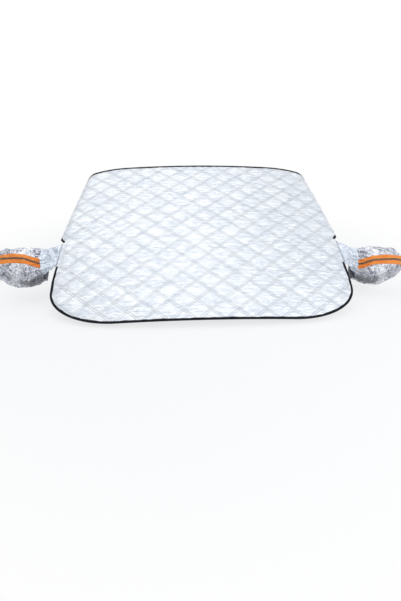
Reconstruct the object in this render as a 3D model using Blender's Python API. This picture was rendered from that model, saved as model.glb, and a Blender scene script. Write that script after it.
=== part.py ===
"""Windshield frost cover, shaped as it sits on a car's windscreen.

A quilted laminate panel is drawn flat, as it is cut and stitched, and then laid on the curved screen.
Its upper wings roll round the screen pillars. Black tape binds its edge in two runs, and a gathered
pocket for a door mirror hangs from each side by a neck piece.

Metres, +Z up, +Y towards the back of the car. The origin is the middle of the panel's inner face.
Flat pattern coordinates: u across the car, v up the slope, h out of the screen from the inner face.
"""

import math

import bmesh
import bpy
from mathutils import Vector

# Windscreen under the panel
SCREEN_SLOPE = math.radians(30)
SCREEN_RADIUS_ACROSS = 6.1
SCREEN_RADIUS_UP = 7.0
PILLAR_RADIUS = 0.055
PILLAR_LEAN = math.atan(0.204)

# Panel outline, cut flat
PANEL_HEIGHT = 1.072
PANEL_HALF_WIDTH = 0.766
FOLD_INSET = 0.0455
FOLD_HALF_WIDTH = PANEL_HALF_WIDTH - FOLD_INSET
BOTTOM_CORNER_WIDTH = 0.336
BOTTOM_CORNER_HEIGHT = 0.190
TOP_CORNER_WIDTH = 0.275
TOP_CORNER_HEIGHT = 0.100
SIDE_TURN_V = -0.282
SEAM_FOOT_V = -0.192
SEAM_TOP_V = -0.037
SEAM_TAPER = 0.024
SEAM_TOP_HALF_WIDTH = PANEL_HALF_WIDTH - SEAM_TAPER
NOTCH_HEIGHT = 0.016
NOTCH_RADIUS = 0.007
WING_WIDTH = 0.070
WING_RISE = 0.010
WING_CORNER_RADIUS = 0.020

# Laminate and quilting
STITCHED_THICKNESS = 0.003
PUFF_RISE = 0.0055
DIAMOND_WIDTH = 0.134
DIAMOND_HEIGHT = 0.1072
STITCH_GAP = 0.010
QUILT_START_U = 0.027
QUILT_START_V = -0.482
EDGE_BAND = 0.0145
PUFF_SHOULDER_SHARE = 0.60
PUFF_SHOULDER_RISE_SHARE = 0.74
BENDS_PER_WING = 6

# Binding tape, folded over the panel's edge
SEWN_CLEARANCE = 0.0005
BINDING_CLEARANCE = 0.0008
TAPE_THICKNESS = 0.001
BINDING_WIDTH = 0.012
BINDING_NOSE = 0.0008

# Mirror pocket
FILM_THICKNESS = 0.0015
NECK_LAP = 0.010
NECK_END_MARGIN = 0.006
MOUTH_REACH = 0.080
MOUTH_FORWARD = 0.026
MOUTH_DROP = 0.046
MOUTH_DEPTH = 0.112
MOUTH_HEIGHT = 0.172
RIGHT_POCKET_HANG = 0.022
POCKET_LENGTH = 0.248
POCKET_DEPTH = 0.152
POCKET_HEIGHT = 0.208
POCKET_SWEEP = 0.036
POCKET_RISE = 0.010
BELLY_AT = 0.26
CLOSING_FROM = 0.36
CLOSING_POWER = 2.3
HEM_LENGTH = 0.014
GATHERS = 8
GATHER_DEPTH = 0.045
GATHERS_END_AT = 0.45
CRUMPLE_DEPTH = 0.032
POCKET_STATIONS = 12
POCKET_FACETS = 32
NECK_LOW_ANGLE = math.radians(-24)
NECK_HIGH_ANGLE = math.radians(112)
NECK_ROWS = 9
NECK_COLUMNS = 8
NECK_LEAVE_PULL = 0.9
NECK_ARRIVE_PULL = 0.7
ELASTIC_WIDTH = 0.010
ELASTIC_MARGIN = 0.002
ELASTIC_CLEARANCE = 0.0012
ELASTIC_THICKNESS = 0.0012

# Reflective tape on each pocket
SAFETY_TAPE_WIDTH = 0.048
GREY_STRIPE_WIDTH = 0.009
SAFETY_TAPE_THICKNESS = 0.0008
GREY_STRIPE_THICKNESS = 0.0005
SAFETY_TAPE_FIRST_STATION = 1
SAFETY_TAPE_LAST_STATION = 10
TAPE_ANGLE_AT_MOUTH = math.radians(14)
TAPE_ANGLE_ON_BODY = math.radians(36)


def smooth_step(share):
    """0 before 0, 1 after 1, and an S curve between."""
    share = min(max(share, 0.0), 1.0)
    return share * share * (3 - 2 * share)


def screen_frame(u, v):
    """Point on the windscreen, with its directions across, up the slope and out of the glass."""
    across = Vector((1, 0, 0))
    upward = Vector((0, math.cos(SCREEN_SLOPE), math.sin(SCREEN_SLOPE)))
    outward = across.cross(upward)
    turn_u, turn_v = u / SCREEN_RADIUS_ACROSS, v / SCREEN_RADIUS_UP
    fall = SCREEN_RADIUS_ACROSS * (1 - math.cos(turn_u)) + SCREEN_RADIUS_UP * (1 - math.cos(turn_v))
    point = (
        across * (SCREEN_RADIUS_ACROSS * math.sin(turn_u))
        + upward * (SCREEN_RADIUS_UP * math.sin(turn_v))
        - outward * fall
    )
    along_u = across * math.cos(turn_u) - outward * math.sin(turn_u)
    along_v = upward * math.cos(turn_v) - outward * math.sin(turn_v)
    return point, along_u, along_v, along_u.cross(along_v).normalized()


def fold_half_width(v):
    """Where the pillar's roll begins at height v on the flat pattern."""
    return FOLD_HALF_WIDTH - math.tan(PILLAR_LEAN) * v


def on_screen(u, v, h=0.0):
    """Place of a flat pattern point on the car: on the screen, or rolled round the pillar past the fold."""
    side = 1 if u >= 0 else -1
    u = abs(u)
    past = (u - fold_half_width(v)) * math.cos(PILLAR_LEAN)
    if past <= 0:
        point, _, _, normal = screen_frame(u, v)
        placed = point + normal * h
    else:
        foot_u = u - past * math.cos(PILLAR_LEAN)
        foot_v = v - past * math.sin(PILLAR_LEAN)
        point, along_u, along_v, normal = screen_frame(foot_u, foot_v)
        out = (along_u * math.cos(PILLAR_LEAN) + along_v * math.sin(PILLAR_LEAN)).normalized()
        turn = past / PILLAR_RADIUS
        placed = (
            point
            + out * ((PILLAR_RADIUS + h) * math.sin(turn))
            + normal * ((PILLAR_RADIUS + h) * math.cos(turn) - PILLAR_RADIUS)
        )
    return Vector((side * placed.x, placed.y, placed.z))


def ellipse_quarter(centre, radii, start, end, count):
    """Points on an ellipse from one angle to another, both ends included."""
    angles = [math.radians(start + (end - start) * i / (count - 1)) for i in range(count)]
    return [
        Vector((centre[0] + radii[0] * math.cos(a), centre[1] + radii[1] * math.sin(a))) for a in angles
    ]


def rounded_corner(before, corner, after, radius, count):
    """Arc of the given radius that rounds a corner between two neighbours."""
    to_before, to_after = (before - corner).normalized(), (after - corner).normalized()
    half = to_before.angle(to_after) / 2
    centre = corner + (to_before + to_after).normalized() * (radius / math.sin(half))
    first = corner + to_before * (radius / math.tan(half)) - centre
    last = corner + to_after * (radius / math.tan(half)) - centre
    sweep = math.atan2(first.x * last.y - first.y * last.x, first.dot(last))
    points = []
    for i in range(count):
        angle = sweep * i / (count - 1)
        cos, sin = math.cos(angle), math.sin(angle)
        points.append(centre + Vector((first.x * cos - first.y * sin, first.x * sin + first.y * cos)))
    return points


def between(first, last, count):
    """Points inside a straight run, without its ends."""
    return [first.lerp(last, (i + 1) / (count + 1)) for i in range(count)]


def seam_half_width(v):
    """Half width of the panel along the side where the pocket's neck is sewn."""
    share = (v - SIDE_TURN_V) / (SEAM_TOP_V - SIDE_TURN_V)
    return PANEL_HALF_WIDTH + (SEAM_TOP_HALF_WIDTH - PANEL_HALF_WIDTH) * share


def side_runs():
    """Right half of the outline in three runs: bottom to neck seam, along the seam, and seam to top."""
    half_height = PANEL_HEIGHT / 2
    corner = ellipse_quarter(
        (PANEL_HALF_WIDTH - BOTTOM_CORNER_WIDTH, BOTTOM_CORNER_HEIGHT - half_height),
        (BOTTOM_CORNER_WIDTH, BOTTOM_CORNER_HEIGHT), -90, 0, 15,
    )
    foot = Vector((seam_half_width(SEAM_FOOT_V), SEAM_FOOT_V))
    top = Vector((seam_half_width(SEAM_TOP_V), SEAM_TOP_V))
    middle = Vector((0, -half_height))
    low = [middle] + between(middle, corner[0], 4) + corner
    low += [Vector((PANEL_HALF_WIDTH, SIDE_TURN_V)), foot]
    seam = between(foot, top, 2)

    wing_edge = WING_WIDTH / math.cos(PILLAR_LEAN)
    notch = Vector((seam_half_width(SEAM_TOP_V + NOTCH_HEIGHT), SEAM_TOP_V + NOTCH_HEIGHT))
    wing_v = notch.y + WING_RISE
    wing_foot = Vector((fold_half_width(wing_v) + wing_edge, wing_v))
    wing_top_v = half_height - TOP_CORNER_HEIGHT
    wing_top = Vector((fold_half_width(wing_top_v) + wing_edge, wing_top_v))
    inner = rounded_corner(top, notch, wing_foot, NOTCH_RADIUS, 4)
    outer = rounded_corner(notch, wing_foot, wing_top, WING_CORNER_RADIUS, 6)
    crown = ellipse_quarter(
        (wing_top.x - TOP_CORNER_WIDTH, wing_top_v), (TOP_CORNER_WIDTH, TOP_CORNER_HEIGHT), 0, 90, 18
    )
    high = [top] + inner + between(inner[-1], outer[0], 2) + outer
    high += between(outer[-1], wing_top, 5) + crown
    high += between(crown[-1], Vector((0, half_height)), 4) + [Vector((0, half_height))]
    return with_bends(low), seam, with_bends(high)


def bend_distances():
    """Distances past the fold, measured across the car, at which a wing is bent round its pillar."""
    return [WING_WIDTH * k / BENDS_PER_WING / math.cos(PILLAR_LEAN) for k in range(BENDS_PER_WING)]


def with_bends(path):
    """The right-hand path with a point added wherever it crosses a bend of the wing."""
    points = [path[0]]
    for first, last in zip(path, path[1:]):
        before, after = (p.x - fold_half_width(p.y) for p in (first, last))
        shares = [(bend - before) / (after - before) for bend in bend_distances() if before != after]
        points += [first.lerp(last, share) for share in sorted(shares) if 0.02 < share < 0.98]
        points.append(last)
    return points


def mirrored(points):
    """The same points on the other side of the car, in reverse order."""
    return [Vector((-p.x, p.y)) for p in reversed(points)]


def quilt_lines():
    """Centre line of every stitched channel as a point and a unit direction, for both ways of the diamonds."""
    half_width = FOLD_HALF_WIDTH + WING_WIDTH + PANEL_HEIGHT * DIAMOND_WIDTH / DIAMOND_HEIGHT
    count = int(half_width / DIAMOND_WIDTH) + 1
    lines = []
    for lean in (1, -1):
        direction = Vector((lean * DIAMOND_WIDTH, DIAMOND_HEIGHT)).normalized()
        for k in range(-count, count + 1):
            lines.append((Vector((QUILT_START_U + k * DIAMOND_WIDTH, QUILT_START_V)), direction))
    return lines


def distance_to_channel(point):
    """Distance from a flat pattern point to the nearest channel's centre line."""
    run_u = (point.x - QUILT_START_U) / DIAMOND_WIDTH
    run_v = (point.y - QUILT_START_V) / DIAMOND_HEIGHT
    pitch = DIAMOND_WIDTH * DIAMOND_HEIGHT / math.hypot(DIAMOND_WIDTH, DIAMOND_HEIGHT)
    return min(abs(run - round(run)) for run in (run_u - run_v, run_u + run_v)) * pitch


def cut_flat(bm, faces, point, direction, offset=0.0):
    """Scores a straight line across the chosen faces of the flat pattern."""
    across = Vector((-direction.y, direction.x, 0))
    geometry = set(faces)
    for face in faces:
        geometry.update(face.edges)
        geometry.update(face.verts)
    plane = Vector((point.x, point.y, 0)) + across * offset
    bmesh.ops.bisect_plane(bm, geom=list(geometry), dist=1e-5, plane_co=plane, plane_no=across)


def faces_at(bm, height):
    """Faces that lie flat at one height of the pattern."""
    return [f for f in bm.faces if all(abs(v.co.z - height) < 1e-7 for v in f.verts)]


def raise_puffs(bm):
    """Lifts every diamond between the channels into a pillow: a shoulder ring and a crowned middle."""
    full_size = math.sqrt(DIAMOND_WIDTH * DIAMOND_HEIGHT / 2)
    cells = [
        face for face in faces_at(bm, STITCHED_THICKNESS)
        if face.material_index == 0 and distance_to_channel(face.calc_center_median()) > STITCH_GAP / 2
    ]
    shoulders = bmesh.ops.extrude_discrete_faces(bm, faces=cells)["faces"]
    for face in shoulders:
        middle = face.calc_center_median()
        rise = PUFF_RISE * min(1.0, math.sqrt(face.calc_area()) / full_size)
        for vert in face.verts:
            vert.co = middle.lerp(vert.co, PUFF_SHOULDER_SHARE)
            vert.co.z += rise * PUFF_SHOULDER_RISE_SHARE
    for vert in bmesh.ops.poke(bm, faces=shoulders)["verts"]:
        shoulder = vert.link_edges[0].other_vert(vert).co.z - STITCHED_THICKNESS
        vert.co.z = STITCHED_THICKNESS + shoulder / PUFF_SHOULDER_RISE_SHARE


def lay_on_screen(bm):
    """Moves the whole flat pattern to its place on the car."""
    for vert in bm.verts:
        vert.co = on_screen(*vert.co)


def finish_object(name, bm, material, smooth_angle=50):
    """Turns a bmesh into a named object with its material and smooth shading."""
    mesh = bpy.data.meshes.new(name)
    bm.to_mesh(mesh)
    bm.free()
    mesh.materials.append(material)
    mesh.shade_smooth()
    mesh.set_sharp_from_angle(angle=math.radians(smooth_angle))
    obj = bpy.data.objects.new(name, mesh)
    bpy.context.scene.collection.objects.link(obj)
    return obj


def build_panel(outline, material):
    """Quilted panel: one laminate, stitched flat in double rows, then laid on the screen."""
    bm = bmesh.new()
    base = bm.faces.new([bm.verts.new((p.x, p.y, 0)) for p in outline])
    made = bmesh.ops.extrude_face_region(bm, geom=[base])["geom"]
    bmesh.ops.translate(
        bm, vec=(0, 0, STITCHED_THICKNESS), verts=[g for g in made if isinstance(g, bmesh.types.BMVert)]
    )
    bmesh.ops.recalc_face_normals(bm, faces=bm.faces)
    band = bmesh.ops.inset_region(
        bm, faces=faces_at(bm, STITCHED_THICKNESS), thickness=EDGE_BAND, use_even_offset=True
    )["faces"]
    for face in band:
        face.material_index = 1
    for point, direction in quilt_lines():
        for offset in (-STITCH_GAP / 2, STITCH_GAP / 2):
            cut_flat(bm, faces_at(bm, STITCHED_THICKNESS), point, direction, offset)
        cut_flat(bm, faces_at(bm, 0), point, direction)
    raise_puffs(bm)
    lean = Vector((-math.sin(PILLAR_LEAN), math.cos(PILLAR_LEAN)))
    for side in (1, -1):
        for bend in bend_distances():
            start = Vector((side * (FOLD_HALF_WIDTH + bend), 0))
            cut_flat(bm, list(bm.faces), start, Vector((side * lean.x, lean.y)))
    for face in bm.faces:
        face.material_index = 0
    lay_on_screen(bm)
    return finish_object("quilted_panel", bm, material)


def binding_section():
    """Folded tape round the panel's edge: distance in from the edge, and height."""
    inner_low = -BINDING_CLEARANCE
    inner_high = STITCHED_THICKNESS + BINDING_CLEARANCE
    outer_low = inner_low - TAPE_THICKNESS
    outer_high = inner_high + TAPE_THICKNESS
    nose = -BINDING_CLEARANCE - TAPE_THICKNESS - BINDING_NOSE
    return [
        (BINDING_WIDTH, outer_high), (-BINDING_CLEARANCE, outer_high),
        (nose, STITCHED_THICKNESS / 2),
        (-BINDING_CLEARANCE, outer_low), (BINDING_WIDTH, outer_low),
        (BINDING_WIDTH, inner_low), (-BINDING_CLEARANCE, inner_low),
        (-BINDING_CLEARANCE, inner_high), (BINDING_WIDTH, inner_high),
    ]


def inward_normals(path):
    """Unit normals to the left of a path, lengthened at its bends so that a band keeps its width."""
    normals = []
    for i, point in enumerate(path):
        before = (point - path[i - 1]).normalized() if i else None
        after = (path[i + 1] - point).normalized() if i + 1 < len(path) else None
        first, last = before or after, after or before
        along = (first + last).normalized()
        normal = Vector((-along.y, along.x))
        normals.append(normal / max(normal.dot(Vector((-first.y, first.x))), 0.5))
    return normals


def build_binding(name, path, material):
    """One run of edge tape, carried along the outline with its folded section."""
    section = binding_section()
    bm = bmesh.new()
    rings = [
        [bm.verts.new(on_screen(p.x + n.x * e, p.y + n.y * e, h)) for e, h in section]
        for p, n in zip(path, inward_normals(path))
    ]
    for ring, following in zip(rings, rings[1:]):
        for j in range(len(section)):
            k = (j + 1) % len(section)
            bm.faces.new((ring[j], ring[k], following[k], following[j]))
    bm.faces.new(list(reversed(rings[0])))
    bm.faces.new(rings[-1])
    bmesh.ops.recalc_face_normals(bm, faces=bm.faces)
    return finish_object(name, bm, material)


def mouth_centre(side):
    """Middle of a pocket's mouth, set out from the middle of its neck seam. The right one hangs lower."""
    seam_v = (SEAM_FOOT_V + SEAM_TOP_V) / 2
    seam = on_screen(seam_half_width(seam_v), seam_v)
    hang = RIGHT_POCKET_HANG if side > 0 else 0
    return seam + Vector((MOUTH_REACH, -MOUTH_FORWARD, -MOUTH_DROP - hang))


def pocket_section(share, side):
    """Centre, half depth and half height of a pocket at a share of its length from the mouth."""
    filling = smooth_step(share / BELLY_AT)
    closing = max(0.0, (share - CLOSING_FROM) / (1 - CLOSING_FROM))
    end = max(0.0, 1 - closing**CLOSING_POWER) ** (1 / CLOSING_POWER)
    centre = mouth_centre(side) + Vector(
        (POCKET_LENGTH * share, -POCKET_SWEEP * filling, POCKET_RISE * share)
    )
    depth = MOUTH_DEPTH + (POCKET_DEPTH - MOUTH_DEPTH) * filling
    height = MOUTH_HEIGHT + (POCKET_HEIGHT - MOUTH_HEIGHT) * filling
    return centre, depth / 2 * end, height / 2 * end


def pocket_point(share, angle, side):
    """A pocket's skin: an oval section with gathers at the mouth and loose crumples on the body.

    The angle is 0 at the front and a quarter turn at the top.
    """
    centre, half_depth, half_height = pocket_section(share, side)
    gathers = GATHER_DEPTH * (1 - smooth_step(share / GATHERS_END_AT)) * math.cos(GATHERS * angle)
    crumple = CRUMPLE_DEPTH * (
        math.sin(3 * angle + 9 * share + 0.6) + 0.7 * math.sin(5 * angle - 13 * share + 2.1)
    )
    swell = 1 + (gathers + crumple * smooth_step(share * 4))
    return centre + Vector(
        (0, -half_depth * swell * math.cos(angle), half_height * swell * math.sin(angle))
    )


def pocket_rings(side):
    """Facet corners of a pocket's skin, station by station from the mouth."""
    return [
        [pocket_point(share, angle, side) for angle in pocket_angles(share)] for share in pocket_shares()
    ]


def skin_normal(rings, i, j):
    """Outward normal of the pocket's skin at one facet corner, from its neighbours."""
    ring = rings[i]
    along = rings[min(i + 1, len(rings) - 1)][j] - rings[max(i - 1, 0)][j]
    round_it = ring[(j + 1) % len(ring)] - ring[j - 1]
    return along.cross(round_it).normalized()


def tape_angle(share):
    """Angle of the reflective tape's centre line round the pocket."""
    rise = smooth_step(share / BELLY_AT)
    return TAPE_ANGLE_AT_MOUTH + (TAPE_ANGLE_ON_BODY - TAPE_ANGLE_AT_MOUTH) * rise


def tape_half_angle(share, half_width):
    """Angle that a distance across the tape takes up on the pocket's skin."""
    step = 1e-3
    angle = tape_angle(share)
    reach = (pocket_point(share, angle + step, 1) - pocket_point(share, angle - step, 1)).length
    return half_width * 2 * step / reach


def pocket_angles(share):
    """Angles of the skin's facets, with lines of facets along both edges of the tape and its stripe."""
    centre = tape_angle(share)
    wide = tape_half_angle(share, SAFETY_TAPE_WIDTH / 2)
    narrow = tape_half_angle(share, GREY_STRIPE_WIDTH / 2)
    lines = [centre - wide, centre - narrow, centre + narrow, centre + wide]
    rest = POCKET_FACETS - 3
    left = 2 * math.pi - 2 * wide
    return lines + [centre + wide + left * (i + 1) / rest for i in range(rest - 1)]


def pocket_shares():
    """Stations along the pocket: the hem at its mouth, then closer together towards its closed end."""
    hem = HEM_LENGTH / POCKET_LENGTH
    turns = [math.pi / 2 * i / POCKET_STATIONS for i in range(POCKET_STATIONS)]
    return [0] + [hem + (1 - hem) * math.sin(turn) for turn in turns]


def add_thickness(obj, thickness, offset):
    """Gives a skin its thickness: offset -1 grows inwards, 1 outwards and 0 both ways."""
    wall = obj.modifiers.new("wall", "SOLIDIFY")
    wall.thickness = thickness
    wall.offset = offset
    return obj


def skin_faces(bm, rings, side, closed):
    """Joins rows of points with four-sided faces that look outwards on either side of the car."""
    for ring, following in zip(rings, rings[1:]):
        span = len(ring) if closed else len(ring) - 1
        for j in range(span):
            k = (j + 1) % len(ring)
            corners = (ring[j], following[j], following[k], ring[k])
            bm.faces.new(corners if side > 0 else tuple(reversed(corners)))


def place(bm, point, side):
    """A vertex at a point of the right-hand piece, or at its mirror place on the left."""
    return bm.verts.new((side * point.x, point.y, point.z))


def pocket_skin(side):
    """Outer skin of a pocket, from the open mouth to the closed outer end, without thickness."""
    bm = bmesh.new()
    rings = [[place(bm, point, side) for point in ring] for ring in pocket_rings(side)]
    skin_faces(bm, rings, side, closed=True)
    tip = place(bm, pocket_section(1.0, side)[0], side)
    last = rings[-1]
    for j in range(len(last)):
        corners = (last[j], tip, last[(j + 1) % len(last)])
        bm.faces.new(corners if side > 0 else tuple(reversed(corners)))
    bm.normal_update()
    return bm, rings


def build_pocket(name, side, material):
    """Pocket: the skin with the thickness of its coated film."""
    bm, _ = pocket_skin(side)
    return add_thickness(finish_object(name, bm, material), FILM_THICKNESS, -1)


def build_tape(name, side, material, lines, height, thickness):
    """A tape on the pocket's skin, between two of its facet lines."""
    bm = bmesh.new()
    rings = pocket_rings(side)
    rows = []
    for i in range(SAFETY_TAPE_FIRST_STATION, SAFETY_TAPE_LAST_STATION + 1):
        rows.append([
            place(bm, rings[i][j] + skin_normal(rings, i, j) * height, side)
            for j in range(lines[0], lines[1] + 1)
        ])
    skin_faces(bm, rows, side, closed=False)
    return add_thickness(finish_object(name, bm, material), thickness, 1)


def build_elastic(name, side, material):
    """Elastic band sewn inside the mouth, following its gathers."""
    skin, rings = pocket_skin(side)
    depth = FILM_THICKNESS + ELASTIC_CLEARANCE
    wall = [[vert.co - vert.normal * depth for vert in ring] for ring in rings[:2]]
    skin.free()
    bm = bmesh.new()
    rows = [
        [bm.verts.new(a.lerp(b, along / HEM_LENGTH)) for a, b in zip(*wall)]
        for along in (ELASTIC_MARGIN, ELASTIC_MARGIN + ELASTIC_WIDTH)
    ]
    skin_faces(bm, rows, side, closed=True)
    return add_thickness(finish_object(name, bm, material), ELASTIC_THICKNESS, -1)


def neck_point(up, out, side):
    """Neck piece: from under the panel's edge to the rim of the pocket's mouth.

    up runs from 0 at the seam's foot to 1 at its top, and out from 0 at the seam to 1 at the mouth.
    """
    foot, top = SEAM_FOOT_V + NECK_END_MARGIN, SEAM_TOP_V - NECK_END_MARGIN
    v = foot + (top - foot) * up
    depth = -SEWN_CLEARANCE - FILM_THICKNESS / 2
    edge = on_screen(seam_half_width(v), v, depth)
    start = on_screen(seam_half_width(v) - NECK_LAP, v, depth)
    angle = NECK_LOW_ANGLE + (NECK_HIGH_ANGLE - NECK_LOW_ANGLE) * up
    rim = pocket_point(0, angle, side) - Vector((SEWN_CLEARANCE, 0, 0))
    lap_share = 1 / NECK_COLUMNS
    if out <= lap_share:
        return start.lerp(edge, out / lap_share)
    t = (out - lap_share) / (1 - lap_share)
    leave = (edge - start).normalized() * (NECK_LEAVE_PULL * MOUTH_REACH)
    arrive = Vector((NECK_ARRIVE_PULL * MOUTH_REACH, 0, 0))
    return (
        edge * (2 * t**3 - 3 * t**2 + 1) + leave * (t**3 - 2 * t**2 + t)
        + rim * (3 * t**2 - 2 * t**3) + arrive * (t**3 - t**2)
    )


def build_neck(name, side, material):
    """Neck piece that joins the panel's side to the pocket's mouth over the top and front."""
    bm = bmesh.new()
    rows = [
        [place(bm, neck_point(i / (NECK_ROWS - 1), j / NECK_COLUMNS, side), side) for i in range(NECK_ROWS)]
        for j in range(NECK_COLUMNS + 1)
    ]
    skin_faces(bm, rows, side, closed=False)
    return add_thickness(finish_object(name, bm, material), FILM_THICKNESS, 0)


def surface(name, color, roughness, metallic=0.0):
    """Principled material with one plain finish."""
    material = bpy.data.materials.new(name)
    material.use_nodes = True
    shader = material.node_tree.nodes["Principled BSDF"]
    shader.inputs["Base Color"].default_value = (*color, 1)
    shader.inputs["Roughness"].default_value = roughness
    shader.inputs["Metallic"].default_value = metallic
    return material


def main():
    for obj in list(bpy.data.objects):
        bpy.data.objects.remove(obj, do_unlink=True)
    panel_film = surface("aluminised_film", (0.82, 0.86, 0.91), 0.38, 0.35)
    pocket_film = surface("pocket_film", (0.62, 0.64, 0.68), 0.34, 0.6)
    black_tape = surface("black_tape", (0.012, 0.014, 0.02), 0.75)
    orange_tape = surface("orange_tape", (0.86, 0.24, 0.04), 0.55)
    grey_tape = surface("grey_reflective_tape", (0.10, 0.075, 0.055), 0.45)
    elastic = surface("elastic", (0.75, 0.75, 0.74), 0.8)

    low, seam, high = side_runs()
    outline = low + seam + high + mirrored(low + seam + high[:-1])[:-1]
    build_panel(outline, panel_film)
    build_binding("lower_edge_binding", mirrored(low) + low[1:], black_tape)
    build_binding("upper_edge_binding", high + mirrored(high)[1:], black_tape)

    on_film = SEWN_CLEARANCE
    on_tape = on_film + SAFETY_TAPE_THICKNESS + SEWN_CLEARANCE
    for word, side in (("left", -1), ("right", 1)):
        build_neck(f"{word}_pocket_neck", side, pocket_film)
        build_pocket(f"{word}_mirror_pocket", side, pocket_film)
        build_elastic(f"{word}_mouth_elastic", side, elastic)
        build_tape(f"{word}_orange_tape", side, orange_tape, (0, 3), on_film, SAFETY_TAPE_THICKNESS)
        build_tape(f"{word}_grey_stripe", side, grey_tape, (1, 2), on_tape, GREY_STRIPE_THICKNESS)


main()
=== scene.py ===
"""Windshield frost cover, dressed: quilted silvery panel, black edge binding and gathered mirror pockets.

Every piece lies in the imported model's frame, in metres. The origin is the middle of the panel's inner face,
+X runs to the right across the cover, +Y towards its back, and +Z up.
"""

import math

import bmesh
import bpy
import numpy as np
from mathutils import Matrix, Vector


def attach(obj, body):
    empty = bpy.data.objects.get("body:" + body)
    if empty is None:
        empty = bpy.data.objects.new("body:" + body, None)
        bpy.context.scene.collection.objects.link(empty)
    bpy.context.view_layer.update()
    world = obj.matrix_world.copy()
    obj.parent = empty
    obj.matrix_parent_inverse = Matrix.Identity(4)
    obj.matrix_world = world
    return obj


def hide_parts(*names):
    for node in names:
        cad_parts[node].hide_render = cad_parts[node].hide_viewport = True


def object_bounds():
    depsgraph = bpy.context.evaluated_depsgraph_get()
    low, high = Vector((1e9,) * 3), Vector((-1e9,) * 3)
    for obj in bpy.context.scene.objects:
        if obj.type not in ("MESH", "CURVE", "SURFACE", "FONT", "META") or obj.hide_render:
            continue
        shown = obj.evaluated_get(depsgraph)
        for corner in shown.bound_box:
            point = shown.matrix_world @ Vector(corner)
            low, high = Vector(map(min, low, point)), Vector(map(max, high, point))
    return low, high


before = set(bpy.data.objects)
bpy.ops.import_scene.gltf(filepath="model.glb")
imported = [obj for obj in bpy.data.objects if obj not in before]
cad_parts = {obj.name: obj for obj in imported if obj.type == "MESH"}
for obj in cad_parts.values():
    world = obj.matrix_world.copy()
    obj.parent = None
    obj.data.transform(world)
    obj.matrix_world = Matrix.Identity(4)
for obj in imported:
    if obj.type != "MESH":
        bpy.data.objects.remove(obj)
cad_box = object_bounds()


# Camera, lamps and floor
# The camera stands in front of the cover and looks down on it, as the photograph was taken. Two large soft
# lamps and a pale sky light the cover evenly, over a pale floor that fades to white.
IMAGE_LONG_SIDE = 601
FOCAL_PIXELS = 386.4
CAMERA_PLACE = (-0.118, -2.002, 0.679)
CAMERA_PITCH = 29.0
CAMERA_YAW = 3.13
CAMERA_ROLL = -0.31
SKY_COLOR = (0.80, 0.87, 0.95)
SKY_STRENGTH = 0.66
FLOOR_COLOR = (0.86, 0.86, 0.86)
FLOOR_DROP = 0.02
FLOOR_HALF_SIDE = 30.0
FLOOR_FADE_FROM = 0.8
FLOOR_FADE_TO = 2.0
FLOOR_WHITE_SHARE = 0.7

camera_data = bpy.data.cameras.new("camera")
camera_data.sensor_width = 36
camera_data.lens = camera_data.sensor_width * FOCAL_PIXELS / IMAGE_LONG_SIDE
camera = bpy.data.objects.new("camera", camera_data)
camera.rotation_mode = "XYZ"
camera.location = CAMERA_PLACE
camera.rotation_euler = [math.radians(angle) for angle in (90 - CAMERA_PITCH, CAMERA_ROLL, -CAMERA_YAW)]
bpy.context.scene.collection.objects.link(camera)
bpy.context.scene.camera = camera
bpy.context.scene.view_settings.view_transform = "Standard"


def lamp(name, place, aim, size, power, color):
    """Rectangular area lamp at place, turned to aim, with the given side lengths and power in watts."""
    data = bpy.data.lights.new(name, "AREA")
    data.shape = "RECTANGLE"
    data.size, data.size_y = size
    data.energy = power
    data.color = color
    obj = bpy.data.objects.new(name, data)
    way = np.subtract(aim, place)
    obj.location = place
    obj.rotation_euler = (
        math.atan2(math.hypot(way[0], way[1]), -way[2]), 0, math.atan2(way[1], way[0]) - math.pi / 2
    )
    bpy.context.scene.collection.objects.link(obj)


lamp("high_lamp", (-0.55, -0.1, 2.7), aim=(0, 0, 0), size=(3.0, 3.0), power=33, color=(1.0, 0.99, 0.97))
lamp("front_lamp", (1.8, -2.2, 1.7), aim=(0.2, 0, 0), size=(2.2, 1.6), power=27, color=(0.96, 0.98, 1.0))


def math_step(tree, operation, *values, clamp=False):
    """Result of one Math node of a node tree, whose values are numbers or sockets."""
    node = tree.nodes.new("ShaderNodeMath")
    node.operation = operation
    node.use_clamp = clamp
    for socket, value in zip(node.inputs, values):
        if isinstance(value, (int, float)):
            socket.default_value = value
        else:
            tree.links.new(value, socket)
    return node.outputs[0]


def mixed_surface(tree, share, plain, white, output):
    """Joins a mix of two shaders to a tree's output, by a share from 0, all plain, to 1, all white."""
    mix = tree.nodes.new("ShaderNodeMixShader")
    tree.links.new(share, mix.inputs["Fac"])
    tree.links.new(plain.outputs[0], mix.inputs[1])
    tree.links.new(white.outputs[0], mix.inputs[2])
    tree.links.new(mix.outputs["Shader"], output.inputs["Surface"])


# Sky: the pale colour lights the cover, and rays that see the sky or mirror it find plain white.
world = bpy.data.worlds.new("sky")
world.use_nodes = True
bpy.context.scene.world = world
sky_tree = world.node_tree
sky = sky_tree.nodes["Background"]
sky.inputs["Color"].default_value = (*SKY_COLOR, 1)
sky.inputs["Strength"].default_value = SKY_STRENGTH
sky_white = sky_tree.nodes.new("ShaderNodeBackground")
sky_white.inputs["Color"].default_value = (1, 1, 1, 1)
sky_ray = sky_tree.nodes.new("ShaderNodeLightPath").outputs
sky_mirrored = math_step(sky_tree, "MAXIMUM", sky_ray["Is Glossy Ray"], sky_ray["Is Transmission Ray"])
sky_seen = math_step(sky_tree, "MAXIMUM", sky_ray["Is Camera Ray"], sky_mirrored)
mixed_surface(sky_tree, sky_seen, sky, sky_white, sky_tree.nodes["World Output"])

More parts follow.
